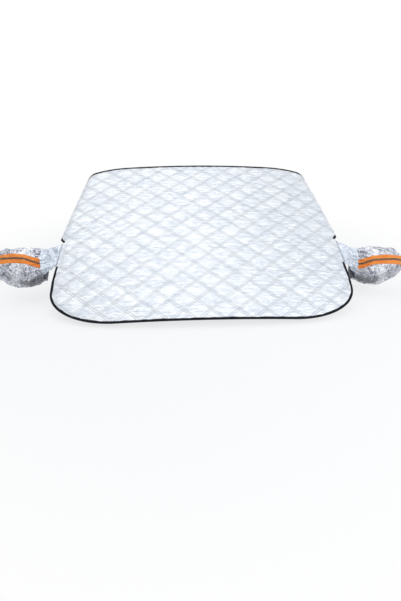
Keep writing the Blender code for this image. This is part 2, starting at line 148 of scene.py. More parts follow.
# Floor: pale paint that takes the cover's shadow, and glows white away from it for rays that see it.
floor_z = cad_box[0][2] - FLOOR_DROP
floor_corners = [
    (x * FLOOR_HALF_SIDE, y * FLOOR_HALF_SIDE, floor_z) for x, y in ((-1, -1), (1, -1), (1, 1), (-1, 1))
]
floor_mesh = bpy.data.meshes.new("floor")
floor_mesh.from_pydata(floor_corners, [], [(0, 1, 2, 3)])
floor = bpy.data.objects.new("floor", floor_mesh)
bpy.context.scene.collection.objects.link(floor)
floor_paint = bpy.data.materials.new("floor_paint")
floor_paint.use_nodes = True
floor_tree = floor_paint.node_tree
floor_shader = floor_tree.nodes["Principled BSDF"]
floor_shader.inputs["Base Color"].default_value = (*FLOOR_COLOR, 1)
floor_shader.inputs["Roughness"].default_value = 0.9
floor_place = floor_tree.nodes.new("ShaderNodeTexCoord")
floor_reach = floor_tree.nodes.new("ShaderNodeVectorMath")
floor_reach.operation = "LENGTH"
floor_tree.links.new(floor_place.outputs["Object"], floor_reach.inputs[0])
floor_fade = floor_tree.nodes.new("ShaderNodeMapRange")
floor_fade.interpolation_type = "SMOOTHSTEP"
floor_fade.inputs["From Min"].default_value = FLOOR_FADE_FROM
floor_fade.inputs["From Max"].default_value = FLOOR_FADE_TO
floor_fade.inputs["To Min"].default_value = FLOOR_WHITE_SHARE
floor_tree.links.new(floor_reach.outputs["Value"], floor_fade.inputs["Value"])
floor_ray = floor_tree.nodes.new("ShaderNodeLightPath").outputs
floor_seen = math_step(floor_tree, "MAXIMUM", floor_ray["Is Camera Ray"], floor_ray["Is Glossy Ray"])
floor_share = math_step(floor_tree, "MULTIPLY", floor_fade.outputs["Result"], floor_seen)
floor_white = floor_tree.nodes.new("ShaderNodeEmission")
mixed_surface(floor_tree, floor_share, floor_shader, floor_white, floor_tree.nodes["Material Output"])
floor_mesh.materials.append(floor_paint)


# Shape of the cover in use
# The cover lies on a shallow dome with a 30 degree slope, and its wings roll round a leaning edge on each
# side. Flat pattern coordinates run u across and v up the slope, and h stands out of the inner face.
SCREEN_SLOPE = math.radians(30)
SCREEN_RADIUS_ACROSS = 6.1
SCREEN_RADIUS_UP = 7.0
PILLAR_RADIUS = 0.055
FOLD_HALF_WIDTH = 0.7205
PILLAR_LEAN = math.atan(0.204)
WING_WIDTH = 0.070


def on_screen(u, v, h):
    """Places flat pattern points in the shape of the cover in use, as whole arrays.

    Inside the fold a point lies on the dome: angles u / radius and v / radius, then h along the normal. Past
    the fold it rolls round the side's edge: the distance past the fold is an arc length on its radius.
    """
    u, v, h = np.broadcast_arrays(np.asarray(u, float), np.asarray(v, float), np.asarray(h, float))
    side = np.where(u < 0, -1.0, 1.0)
    cos_lean, sin_lean = math.cos(PILLAR_LEAN), math.sin(PILLAR_LEAN)
    past = np.maximum((np.abs(u) - FOLD_HALF_WIDTH + math.tan(PILLAR_LEAN) * v) * cos_lean, 0)
    foot_u, foot_v = np.abs(u) - past * cos_lean, v - past * sin_lean
    turn_u, turn_v = foot_u / SCREEN_RADIUS_ACROSS, foot_v / SCREEN_RADIUS_UP
    across = np.array([1.0, 0, 0])
    upward = np.array([0, math.cos(SCREEN_SLOPE), math.sin(SCREEN_SLOPE)])
    outward = np.cross(across, upward)
    fall = SCREEN_RADIUS_ACROSS * (1 - np.cos(turn_u)) + SCREEN_RADIUS_UP * (1 - np.cos(turn_v))
    point = (
        np.multiply.outer(SCREEN_RADIUS_ACROSS * np.sin(turn_u), across)
        + np.multiply.outer(SCREEN_RADIUS_UP * np.sin(turn_v), upward)
        - np.multiply.outer(fall, outward)
    )
    along_u = np.multiply.outer(np.cos(turn_u), across) - np.multiply.outer(np.sin(turn_u), outward)
    along_v = np.multiply.outer(np.cos(turn_v), upward) - np.multiply.outer(np.sin(turn_v), outward)
    normal = np.cross(along_u, along_v)
    normal /= np.linalg.norm(normal, axis=-1, keepdims=True)
    out = along_u * cos_lean + along_v * sin_lean
    out /= np.linalg.norm(out, axis=-1, keepdims=True)
    turn = past / PILLAR_RADIUS
    rolled = (PILLAR_RADIUS + h)[..., None]
    placed = (
        point
        + out * rolled * np.sin(turn)[..., None]
        + normal * (rolled * np.cos(turn)[..., None] - PILLAR_RADIUS)
    )
    placed[..., 0] *= side
    return placed


def grid_piece(name, points, uv, close_across=False):
    """Mesh of a grid of points, shape (rows, columns, 3), with its flat coordinates as a UV map.

    Each cell is one face, whose normal is the direction of its columns x that of its rows: faces look out
    where columns run right and rows run up. With close_across, the last column joins the first.
    """
    rows, columns = points.shape[:2]
    index = np.arange(rows * columns).reshape(rows, columns)
    following = np.roll(index, -1, axis=1) if close_across else index
    a = index[:-1, :] if close_across else index[:-1, :-1]
    b = following[:-1, :] if close_across else index[:-1, 1:]
    c = following[1:, :] if close_across else index[1:, 1:]
    d = index[1:, :] if close_across else index[1:, :-1]
    faces = np.stack([a, b, c, d], axis=-1).reshape(-1, 4)
    mesh = bpy.data.meshes.new(name)
    mesh.vertices.add(rows * columns)
    mesh.vertices.foreach_set("co", points.astype(np.float32).ravel())
    mesh.loops.add(faces.size)
    mesh.loops.foreach_set("vertex_index", faces.astype(np.int32).ravel())
    mesh.polygons.add(len(faces))
    mesh.polygons.foreach_set("loop_start", np.arange(0, faces.size, 4, dtype=np.int32))
    mesh.update(calc_edges=True)
    layer = mesh.uv_layers.new(name="flat")
    layer.data.foreach_set("uv", uv.reshape(-1, 2)[faces.ravel()].astype(np.float32).ravel())
    mesh.shade_smooth()
    obj = bpy.data.objects.new(name, mesh)
    bpy.context.scene.collection.objects.link(obj)
    return obj


# Quilted panel
# A laminate of silvery coated film, thin wadding and a pale backing, stitched in double rows to diamonds
# and cut to one outline. The film puffs up between the rows and creases across each puff.
PANEL_HEIGHT = 1.072
FOLD_INSET = 0.0455
PANEL_HALF_WIDTH = FOLD_HALF_WIDTH + FOLD_INSET
BOTTOM_CORNER_WIDTH = 0.336
BOTTOM_CORNER_HEIGHT = 0.190
TOP_CORNER_WIDTH = 0.275
TOP_CORNER_HEIGHT = 0.100
SIDE_TURN_V = -0.282
SEAM_FOOT_V = -0.192
SEAM_TOP_V = -0.037
SEAM_TAPER = 0.024
SEAM_TOP_HALF_WIDTH = PANEL_HALF_WIDTH - SEAM_TAPER
NOTCH_RISE = 0.004
NOTCH_V = SEAM_TOP_V + NOTCH_RISE
WING_STEP = 0.070
WING_STEP_POWER = 1.3
STITCHED_THICKNESS = 0.003
PUFF_RISE = 0.0020
PUFF_POWER = 0.6
CHANNEL_RIDGE = 0.0008
DIAMOND_WIDTH = 0.134
DIAMOND_HEIGHT = 0.1072
STITCH_GAP = 0.010
QUILT_START_U = 0.027
QUILT_START_V = -0.482
STITCH_LENGTH = 0.0045
GROOVE_HALF_WIDTH = 0.0006
THREAD_HALF_WIDTH = 0.0005
WIDE_CREASES = 0.0068
WIDE_CREASE_SPACING = 0.024
FINE_CREASES = 0.0054
FINE_CREASE_SPACING = 0.012
HEM_WIDTH = 0.012
HEM_SLOPE_WIDTH = 0.022
BOTTOM_ROWS = 70
SIDE_ROWS = 84
STEP_ROWS = 22
WING_ROWS = 112
CROWN_ROWS = 46
PANEL_COLUMNS = 290
LINING_ROWS = 91
LINING_COLUMNS = 81
FILM_WIDE_FACETS = (0.048, 0.013, 1)
FILM_FINE_FACETS = (0.015, 0.006, 1)
FILM_WHITE = (0.878, 0.892, 0.905)
FILM_FACET_SHADE = (0.63, 0.665, 0.735)
FILM_GROOVE_SHADE = (0.16, 0.17, 0.19)
THREAD_GREY = (0.50, 0.52, 0.55)
LINING_WHITE = (0.74, 0.75, 0.76)
LINING_FELT = ((0.66, 0.67, 0.69), (0.80, 0.81, 0.82))
FELT_GRAINS_PER_METRE = 420
LINING_GROOVE_SHADE = (0.40, 0.41, 0.43)
LINING_THREAD = (0.78, 0.79, 0.80)

HALF_HEIGHT = PANEL_HEIGHT / 2
DIAMOND_DIAGONAL = math.hypot(DIAMOND_WIDTH, DIAMOND_HEIGHT)
PITCH = DIAMOND_WIDTH * DIAMOND_HEIGHT / DIAMOND_DIAGONAL


def wing_half_width(v):
    """Half width to the wing's free edge: the fold's, plus the wing, less a quarter ellipse at the top."""
    crown_v = HALF_HEIGHT - TOP_CORNER_HEIGHT
    straight = FOLD_HALF_WIDTH - math.tan(PILLAR_LEAN) * np.minimum(v, crown_v)
    climb = np.clip((v - crown_v) / TOP_CORNER_HEIGHT, 0, 1)
    return straight + WING_WIDTH / math.cos(PILLAR_LEAN) - TOP_CORNER_WIDTH * (1 - np.sqrt(1 - climb**2))


def side_half_width(v):
    """Half width below the wing: a quarter ellipse at the bottom, a straight side, and the tapered seam."""
    drop = np.clip((BOTTOM_CORNER_HEIGHT - HALF_HEIGHT - v) / BOTTOM_CORNER_HEIGHT, 0, 1)
    bottom = PANEL_HALF_WIDTH - BOTTOM_CORNER_WIDTH * (1 - np.sqrt(1 - drop**2))
    share = np.clip((v - SIDE_TURN_V) / (SEAM_TOP_V - SIDE_TURN_V), 0, None)
    return bottom + (SEAM_TOP_HALF_WIDTH - PANEL_HALF_WIDTH) * share


def half_width(v):
    """Half width of the cut panel: the side's below the notch, then a rounded step out to the wing's."""
    step = np.clip((v - NOTCH_V) / WING_STEP, 0, 1)
    stepped = 1 - (1 - step) ** WING_STEP_POWER
    return side_half_width(v) + (wing_half_width(v) - side_half_width(v)) * stepped


def smooth(share):
    """0 below 0, 1 above 1, and the S curve 3 s^2 - 2 s^3 between."""
    share = np.clip(share, 0, 1)
    return share * share * (3 - 2 * share)


def folds_in_space(points, count, length, seed):
    """Height of creased film at points, from 0 in the hollows to 1 on the creases.

    It is the mean over count plane waves in random directions of (1 - |sin(wave)|)^1.5, where each wave's
    phase is bent by a slower sine across it, so that no crease runs straight for long.
    """
    random = np.random.default_rng(seed)
    total = np.zeros(points.shape[:-1])
    for _ in range(count):
        way, across = random.normal(size=(2, points.shape[-1]))
        way, across = way / np.linalg.norm(way), across / np.linalg.norm(across)
        reach = length * random.uniform(0.6, 1.7)
        phase = random.uniform(0, 2 * math.pi)
        bend = 1.1 * np.sin(points @ across * (2.2 / reach) + 3 * phase)
        total += (1 - np.abs(np.sin(points @ way * (math.pi / reach) + phase + bend))) ** 1.5
    return total / count


def cross_creases(u, v, spacing, seed):
    """Height of creases that lie across the panel, from 0 between them to 1 on their crests.

    It is the mean over three sets of (1 - |sin(pi v / spacing + bend)|)^1.8, where two slow sines of u and v
    bend the rows, and a product of two sines cuts each row into short lens shapes.
    """
    random = np.random.default_rng(seed)
    total = np.zeros(np.shape(u))
    for _ in range(3):
        turns = random.uniform(0, 2 * math.pi, 6)
        pace = spacing * random.uniform(0.8, 1.35)
        bend = 0.9 * np.sin(u / (2.1 * pace) + turns[0])
        bend = bend + 0.7 * np.sin((0.8 * u + v) / (1.7 * pace) + turns[1])
        row = (1 - np.abs(np.sin(math.pi * v / pace + bend + turns[2]))) ** 1.8
        lens = np.sin(u / (0.9 * pace) + 1.3 * np.sin(v / pace + turns[3]) + turns[4])
        lens = lens * np.sin(v / (1.6 * pace) + 0.8 * np.sin(u / pace) + turns[5])
        total += row * smooth(0.55 + 0.65 * lens)
    return total / 3


def film_height(u, v, edge):
    """Height of the quilted film over the inner face.

    Each diamond is a pillow, the product of two sine arches to a power below 1. The two stitch lines of a
    channel keep a low ridge between them. Creases lie across the puffs, and the film is flat at the edge.
    """
    pillow = 1.0
    ridge = 0.0
    for run in (
        (u - QUILT_START_U) / DIAMOND_WIDTH - (v - QUILT_START_V) / DIAMOND_HEIGHT,
        (u - QUILT_START_U) / DIAMOND_WIDTH + (v - QUILT_START_V) / DIAMOND_HEIGHT,
    ):
        distance = np.abs(run - np.round(run)) * PITCH
        inside = np.clip((distance - STITCH_GAP / 2) / (PITCH / 2 - STITCH_GAP / 2), 0, 1)
        pillow = pillow * np.sin(inside * math.pi / 2) ** PUFF_POWER
        ridge = np.maximum(ridge, np.clip(1 - (2 * distance / STITCH_GAP) ** 2, 0, 1))
    wide = WIDE_CREASES * cross_creases(u, v, WIDE_CREASE_SPACING, seed=3)
    fine = FINE_CREASES * cross_creases(u, v, FINE_CREASE_SPACING, seed=4)
    slack = (wide + fine) * (0.2 + 0.8 * pillow)
    flat_hem = smooth((edge - HEM_WIDTH) / HEM_SLOPE_WIDTH)
    return STITCHED_THICKNESS + flat_hem * (PUFF_RISE * pillow + slack + CHANNEL_RIDGE * ridge)


quarter = np.linspace(0, math.pi / 2, BOTTOM_ROWS)
step_turn = np.linspace(0, math.pi / 2, STEP_ROWS)
crown_turn = np.linspace(0, math.pi / 2, CROWN_ROWS)
low_end_v = BOTTOM_CORNER_HEIGHT - HALF_HEIGHT
wing_v = NOTCH_V + WING_STEP
crown_v = HALF_HEIGHT - TOP_CORNER_HEIGHT
row_v = np.concatenate([
    -HALF_HEIGHT + BOTTOM_CORNER_HEIGHT * (1 - np.cos(quarter))[:-1],
    np.linspace(low_end_v, NOTCH_V, SIDE_ROWS)[:-1],
    NOTCH_V + WING_STEP * (1 - np.cos(step_turn))[:-1],
    np.linspace(wing_v, crown_v, WING_ROWS)[:-1],
    crown_v + TOP_CORNER_HEIGHT * np.sin(crown_turn),
])
panel_widths = half_width(row_v)[:, None]
panel_u = panel_widths * np.linspace(-1, 1, PANEL_COLUMNS)[None, :]
panel_v = np.broadcast_to(row_v[:, None], panel_u.shape)
outline_slope = np.gradient(panel_widths[:, 0], row_v)[:, None]
panel_edge = np.minimum(
    (panel_widths - np.abs(panel_u)) / np.sqrt(1 + outline_slope**2), HALF_HEIGHT - np.abs(panel_v)
)
panel_h = film_height(panel_u, panel_v, panel_edge)

# A closing hem: one more ring of points lies straight under the edge, on the inner face.
hemmed_u, hemmed_v = np.pad(panel_u, 1, mode="edge"), np.pad(panel_v, 1, mode="edge")
hemmed_flat = np.stack([hemmed_u, hemmed_v], axis=-1)
panel_face = grid_piece("panel_face", on_screen(hemmed_u, hemmed_v, np.pad(panel_h, 1)), hemmed_flat)

# The lining takes fewer of the same rows, and its columns run the other way, so that it faces down.
lining_v = row_v[np.linspace(0, len(row_v) - 1, LINING_ROWS).round().astype(int)][:, None]
lining_u = half_width(lining_v) * np.linspace(1, -1, LINING_COLUMNS)
lining_flat = np.stack(np.broadcast_arrays(lining_u, lining_v), axis=-1)
panel_lining = grid_piece("panel_lining", on_screen(lining_u, lining_v, 0), lining_flat)

for piece in (panel_face, panel_lining):
    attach(piece, "root")
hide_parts("quilted_panel")


def node_group(name, results):
    """Shader node group that turns a place into named values: its tree, the place, and its output node."""
    tree = bpy.data.node_groups.new(name, "ShaderNodeTree")
    tree.interface.new_socket("Place", in_out="INPUT", socket_type="NodeSocketVector")
    for label in results:
        tree.interface.new_socket(label, in_out="OUTPUT", socket_type="NodeSocketFloat")
    return tree, tree.nodes.new("NodeGroupInput").outputs["Place"], tree.nodes.new("NodeGroupOutput")


def split_place(tree, place):
    """First and second coordinate of a place."""
    node = tree.nodes.new("ShaderNodeSeparateXYZ")
    tree.links.new(place, node.inputs[0])
    return node.outputs["X"], node.outputs["Y"]


# Stitched rows: the distance to each stitch line makes a pressed groove, and a run along it the threads.
THREAD_GAP_SHARE = 0.10
STITCHES_PER_SIDE = DIAMOND_DIAGONAL / 2 / STITCH_LENGTH

stitched_rows, rows_place, rows_out = node_group("stitched_rows", ["Groove", "Thread"])
rows_u, rows_v = split_place(stitched_rows, rows_place)
shift_u = math_step(stitched_rows, "SUBTRACT", rows_u, QUILT_START_U)
shift_v = math_step(stitched_rows, "SUBTRACT", rows_v, QUILT_START_V)
run_u = math_step(stitched_rows, "DIVIDE", shift_u, DIAMOND_WIDTH)
run_v = math_step(stitched_rows, "DIVIDE", shift_v, DIAMOND_HEIGHT)
falling = math_step(stitched_rows, "SUBTRACT", run_u, run_v)
rising = math_step(stitched_rows, "ADD", run_u, run_v)
grooves, threads = [], []
for run, other in ((falling, rising), (rising, falling)):
    off_line = math_step(stitched_rows, "PINGPONG", run, 0.5)
    off_centre = math_step(stitched_rows, "MULTIPLY", off_line, PITCH)
    off_row = math_step(stitched_rows, "SUBTRACT", off_centre, STITCH_GAP / 2)
    off_stitch = math_step(stitched_rows, "ABSOLUTE", off_row)
    depth = math_step(stitched_rows, "DIVIDE", off_stitch, GROOVE_HALF_WIDTH)
    shallow = math_step(stitched_rows, "MULTIPLY_ADD", depth, depth, 1.0)
    grooves.append(math_step(stitched_rows, "DIVIDE", 1.0, shallow))
    on_line = math_step(stitched_rows, "LESS_THAN", off_stitch, THREAD_HALF_WIDTH)
    stitch = math_step(stitched_rows, "MULTIPLY", other, STITCHES_PER_SIDE)
    along = math_step(stitched_rows, "PINGPONG", stitch, 0.5)
    past_gap = math_step(stitched_rows, "GREATER_THAN", along, THREAD_GAP_SHARE)
    threads.append(math_step(stitched_rows, "MULTIPLY", on_line, past_gap))
stitched_rows.links.new(math_step(stitched_rows, "MAXIMUM", *grooves), rows_out.inputs["Groove"])
stitched_rows.links.new(math_step(stitched_rows, "MAXIMUM", *threads), rows_out.inputs["Thread"])

# Creased film: warped cells of two sizes stand for the flat facets between creases, each with its own random
# value. The films paint it into their colour as painted reflection, as though each facet mirrored another
# brightness. Height is the distance to a cell's middle.
FACET_WARP = 1.4
SMALL_FACETS_PER_LARGE = 2.7
LARGE_FACET_SHARE = 0.55
SMALL_FACET_SHARE = 0.45

creased_film, creased_place, creased_out = node_group("creased_film", ["Height", "Facet"])
slow = creased_film.nodes.new("ShaderNodeTexNoise")
slow.inputs["Scale"].default_value = 0.7
slow.inputs["Detail"].default_value = 3
creased_film.links.new(creased_place, slow.inputs["Vector"])
warp = creased_film.nodes.new("ShaderNodeVectorMath")
warp.operation = "MULTIPLY_ADD"
warp.inputs[1].default_value = (FACET_WARP, FACET_WARP, FACET_WARP)
creased_film.links.new(slow.outputs["Color"], warp.inputs[0])
creased_film.links.new(creased_place, warp.inputs[2])
cells, tints = [], []
for scale in (1.0, SMALL_FACETS_PER_LARGE):
    cell = creased_film.nodes.new("ShaderNodeTexVoronoi")
    cell.inputs["Scale"].default_value = scale
    creased_film.links.new(warp.outputs["Vector"], cell.inputs["Vector"])
    cell_tint = creased_film.nodes.new("ShaderNodeSeparateColor")
    creased_film.links.new(cell.outputs["Color"], cell_tint.inputs[0])
    cells.append(cell.outputs["Distance"])
    tints.append(cell_tint)
crease = math_step(creased_film, "MULTIPLY_ADD", cells[1], SMALL_FACET_SHARE, cells[0])
small_facet = math_step(creased_film, "MULTIPLY", tints[1].outputs["Green"], SMALL_FACET_SHARE)
facet = math_step(creased_film, "MULTIPLY_ADD", tints[0].outputs["Red"], LARGE_FACET_SHARE, small_facet)
creased_film.links.new(crease, creased_out.inputs["Height"])
creased_film.links.new(facet, creased_out.inputs["Facet"])


class Finish:
    """A material on its Principled shader, with short ways to place nodes and to join them."""

    def __init__(self, name, color, roughness, metallic=0.0):
        self.material = bpy.data.materials.new(name)
        self.material.use_nodes = True
        self.tree = self.material.node_tree
        self.shader = self.tree.nodes["Principled BSDF"]
        self.shader.inputs["Base Color"].default_value = (*color, 1)
        self.shader.inputs["Roughness"].default_value = roughness
        self.shader.inputs["Metallic"].default_value = metallic
        self.place = self.tree.nodes.new("ShaderNodeTexCoord")

    def scaled(self, source, lengths):
        """A place divided by one length for each axis, in metres."""
        node = self.tree.nodes.new("ShaderNodeVectorMath")
        node.operation = "DIVIDE"
        node.inputs[1].default_value = lengths
        self.tree.links.new(self.place.outputs[source], node.inputs[0])
        return node.outputs[0]

    def pattern(self, tree, lengths=(1, 1, 1), source="UV"):
        """Values of a node group laid over the piece, with the lengths that its cells measure."""
        node = self.tree.nodes.new("ShaderNodeGroup")
        node.node_tree = tree
        self.tree.links.new(self.scaled(source, lengths), node.inputs["Place"])
        return node.outputs

    def noise(self, detail, lengths, scale=5.0):
        """Soft noise from 0 to 1 over the flat cloth, in cells of the given lengths divided by scale."""
        node = self.tree.nodes.new("ShaderNodeTexNoise")
        node.inputs["Detail"].default_value = detail
        node.inputs["Scale"].default_value = scale
        self.tree.links.new(self.scaled("UV", lengths), node.inputs["Vector"])
        return node.outputs["Fac"]

    def tint(self, share, first, second):
        """Colour between two colours or sockets, by a share from 0 to 1."""
        node = self.tree.nodes.new("ShaderNodeMix")
        node.data_type = "RGBA"
        self.tree.links.new(share, node.inputs["Factor"])
        for socket, value in ((node.inputs[6], first), (node.inputs[7], second)):
            if isinstance(value, tuple):
                socket.default_value = (*value, 1)
            else:
                self.tree.links.new(value, socket)
        return node.outputs[2]

    def spread(self, share, low, high, clamp=False):
        """A value that runs from low to high as share runs from 0 to 1, held within 0 and 1 by clamp."""
        return math_step(self.tree, "MULTIPLY_ADD", share, high - low, low, clamp=clamp)

    def product(self, first, second, clamp=False):
        """Two values multiplied, held within 0 and 1 by clamp."""
        return math_step(self.tree, "MULTIPLY", first, second, clamp=clamp)

    def near(self, distance, length):
        """1 where a distance is 0, falling evenly to 0 at the given length."""
        share = math_step(self.tree, "DIVIDE", distance, length)
        return math_step(self.tree, "SUBTRACT", 1.0, share, clamp=True)

    def relief(self, height, millimetres, under=None):
        """Normal of a bumped surface, with the real size that a height of one stands for."""
        node = self.tree.nodes.new("ShaderNodeBump")
        node.inputs["Distance"].default_value = millimetres / 1000
        self.tree.links.new(height, node.inputs["Height"])
        if under:
            self.tree.links.new(under, node.inputs["Normal"])
        return node.outputs["Normal"]

    def join(self, output, socket):
        """Joins an output to a socket of the Principled shader."""
        self.tree.links.new(output, self.shader.inputs[socket])


silver = Finish("silvery_film", FILM_WHITE, 0.4, 0.35)
silver_rows = silver.pattern(stitched_rows)
silver_wide = silver.pattern(creased_film, FILM_WIDE_FACETS)
silver_fine = silver.pattern(creased_film, FILM_FINE_FACETS)
# Painted reflection: each facet is darker or lighter, between the film's white and a painted shade, as though
# it mirrored another part of the room.
silver_shade = silver.product(
    silver.spread(silver_wide["Facet"], -0.2, 1.3), silver.spread(silver_fine["Facet"], 0.4, 1.2)
)
silver_color = silver.tint(silver_shade, FILM_WHITE, FILM_FACET_SHADE)
# Painted shade darkens the film in the pressed grooves along the stitch rows.
silver_color = silver.tint(silver.spread(silver_rows["Groove"], 0.0, 0.95), silver_color, FILM_GROOVE_SHADE)
silver.join(silver.tint(silver_rows["Thread"], silver_color, THREAD_GREY), "Base Color")
silver.join(silver.spread(silver_fine["Facet"], 0.30, 0.50), "Roughness")
silver_relief = silver.relief(silver_wide["Height"], 2.0)
silver_relief = silver.relief(silver_fine["Height"], 0.8, silver_relief)
silver_sunk = math_step(
    silver.tree, "SUBTRACT", silver.product(silver_rows["Thread"], 0.35), silver_rows["Groove"]
)
silver.join(silver.relief(silver_sunk, 1.0, silver_relief), "Normal")
panel_face.data.materials.append(silver.material)

lining = Finish("pale_backing", LINING_WHITE, 0.85)
lining_rows = lining.pattern(stitched_rows)
lining_felt = lining.noise(6, (1, 1, 1), scale=FELT_GRAINS_PER_METRE)
lining_color = lining.tint(lining_felt, *LINING_FELT)
# Painted shade darkens the backing in the pressed grooves along the stitch rows.
lining_color = lining.tint(lining.spread(lining_rows["Groove"], 0, 0.6), lining_color, LINING_GROOVE_SHADE)
lining.join(lining.tint(lining_rows["Thread"], lining_color, LINING_THREAD), "Base Color")
lining_relief = lining.relief(lining_felt, 0.4)
lining_sunk = math_step(lining.tree, "SUBTRACT", 1.0, lining_rows["Groove"])
lining.join(lining.relief(lining_sunk, 1.4, lining_relief), "Normal")
panel_lining.data.materials.append(lining.material)


# Edge binding
# Black woven tape, folded over the laminate's raw edge and sewn through with one row of stitches. One run
# goes round below the pockets' necks, the other round the wings and the top.
BINDING_WIDTH = 0.0112
BINDING_THICKNESS = 0.001
BINDING_NOSE = 0.0014
BINDING_LAPS = (1.0, 1.0, 0.9, 0.55, 0.2)
BINDING_LAP_SINK = 0.0005
BINDING_LAP_CURL = 0.0002
BINDING_POINT_SPACING = 0.004
BINDING_WANDER = 0.0005
WANDER_LENGTHS = (0.31, 0.17, 0.083, 0.047)
PUCKER_SPACING = 0.012
BINDING_STITCH_INSET = 0.0025
BINDING_STITCH_HALF_WIDTH = 0.0009
BINDING_WEAVE = (0.0008, 0.0008, 1)
BINDING_BLACK = (0.004, 0.005, 0.009)
BINDING_RAISED_GREY = (0.013, 0.016, 0.024)


def mirrored_run(right):
    """The right-hand half of a run, from the middle line or to it, joined to its mirror image."""
    left = right[::-1] * np.array([-1, 1])
    return np.concatenate([left, right[1:]]) if right[0, 0] == 0 else np.concatenate([right, left[1:]])


def evenly_spaced(path, spacing):
    """Points at equal distances along a path, interpolated on its length, and those distances."""
    lengths = np.concatenate([[0], np.cumsum(np.linalg.norm(np.diff(path, axis=0), axis=1))])
    at = np.linspace(0, lengths[-1], int(lengths[-1] / spacing))
    return np.stack([np.interp(at, lengths, path[:, i]) for i in (0, 1)], axis=-1), at


def bound_edge(name, path, node, seed):
    """Folded tape carried along a path on the flat pattern.

    The section runs from the lap on the film, round a half ellipse over the raw edge, to the lap on the
    lining. The lap's width wanders by slow sines, as a hand-fed tape does, and the stitches pucker its top.
    """
    path, at = evenly_spaced(path, BINDING_POINT_SPACING)
    along = np.gradient(path, axis=0)
    along /= np.linalg.norm(along, axis=1, keepdims=True)
    inward = np.stack([-along[:, 1], along[:, 0]], axis=-1)
    top, bottom = STITCHED_THICKNESS + BINDING_THICKNESS, -BINDING_THICKNESS
    turn = np.linspace(math.pi / 2, -math.pi / 2, 11)
    lap = np.array(BINDING_LAPS) * BINDING_WIDTH
    section_in = np.concatenate([lap, -BINDING_NOSE * np.cos(turn), lap[::-1]])
    middle, half = (top + bottom) / 2, (top - bottom) / 2
    section_high = np.concatenate([
        [STITCHED_THICKNESS - BINDING_LAP_SINK, top - BINDING_LAP_CURL, top, top, top],
        middle + half * np.sin(turn),
        [bottom, bottom, bottom, bottom + BINDING_LAP_CURL, BINDING_LAP_SINK],
    ])
    random = np.random.default_rng(seed)
    wander = sum(np.sin(at * (2 * math.pi / length) + random.uniform(0, 6)) for length in WANDER_LENGTHS)
    pucker = 1 + 0.06 * np.sin(at * (2 * math.pi / PUCKER_SPACING)) + 0.03 * wander
    lapped = section_in[None, :] + BINDING_WANDER * wander[:, None] * (section_in > BINDING_WIDTH * 0.8)
    place = path[:, None, :] + inward[:, None, :] * lapped[:, :, None]
    high = np.where(section_high > middle, middle + (section_high - middle) * pucker[:, None], section_high)
    around = np.concatenate([[0], np.cumsum(np.hypot(np.diff(section_in), np.diff(section_high)))])
    uv = np.stack(np.broadcast_arrays(at[:, None], around[None, :]), axis=-1)
    piece = grid_piece(name, on_screen(place[..., 0], place[..., 1], high), uv)
    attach(piece, "root")
    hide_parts(node)
    return piece


# The lower run: along the bottom from its middle, round the corner and up the side to the neck's seam.
STRAIGHT_POINTS = 19
SIDE_POINTS = 30
low_side_v = np.linspace(low_end_v, SEAM_FOOT_V, SIDE_POINTS)[1:]
low_edge_end = PANEL_HALF_WIDTH - BOTTOM_CORNER_WIDTH
bottom_run = np.stack([
    np.concatenate([
        np.linspace(0, low_edge_end, STRAIGHT_POINTS, endpoint=False),
        low_edge_end + BOTTOM_CORNER_WIDTH * np.sin(quarter),
        side_half_width(low_side_v),
    ]),
    np.concatenate([
        np.full(STRAIGHT_POINTS, -HALF_HEIGHT),
        -HALF_HEIGHT + BOTTOM_CORNER_HEIGHT * (1 - np.cos(quarter)),
        low_side_v,
    ]),
], axis=-1)

# The upper run: from the top of the neck's seam, out round the wing and along the top to its middle.
NOTCH_POINTS = 6
WING_POINTS = 60
wing_run_v = np.concatenate([
    np.linspace(SEAM_TOP_V, NOTCH_V, NOTCH_POINTS)[:-1],
    NOTCH_V + WING_STEP * (1 - np.cos(step_turn))[:-1],
    np.linspace(wing_v, crown_v, WING_POINTS)[:-1],
    crown_v + TOP_CORNER_HEIGHT * np.sin(crown_turn),
])
top_run = np.stack([
    np.append(half_width(wing_run_v), np.linspace(half_width(HALF_HEIGHT), 0, STRAIGHT_POINTS + 1)[1:]),
    np.append(wing_run_v, np.full(STRAIGHT_POINTS, HALF_HEIGHT)),
], axis=-1)
lower_binding = bound_edge("lower_binding", mirrored_run(bottom_run), "lower_edge_binding", 21)
upper_binding = bound_edge("upper_binding", mirrored_run(top_run), "upper_edge_binding", 22)

# Woven tape: warp and weft cross over and under each other, and each thread stands proud in turn.
woven_tape, woven_place, woven_out = node_group("woven_tape", ["Height", "Fuzz"])
warp_place, weft_place = split_place(woven_tape, woven_place)
warp_wave = math_step(woven_tape, "SINE", math_step(woven_tape, "MULTIPLY", warp_place, math.pi))
weft_wave = math_step(woven_tape, "SINE", math_step(woven_tape, "MULTIPLY", weft_place, math.pi))
crossing = math_step(woven_tape, "ABSOLUTE", math_step(woven_tape, "MULTIPLY", warp_wave, weft_wave))
fuzz = woven_tape.nodes.new("ShaderNodeTexNoise")
fuzz.inputs["Scale"].default_value = 0.35
fuzz.inputs["Detail"].default_value = 4
woven_tape.links.new(woven_place, fuzz.inputs["Vector"])
woven_tape.links.new(crossing, woven_out.inputs["Height"])
woven_tape.links.new(fuzz.outputs["Fac"], woven_out.inputs["Fuzz"])

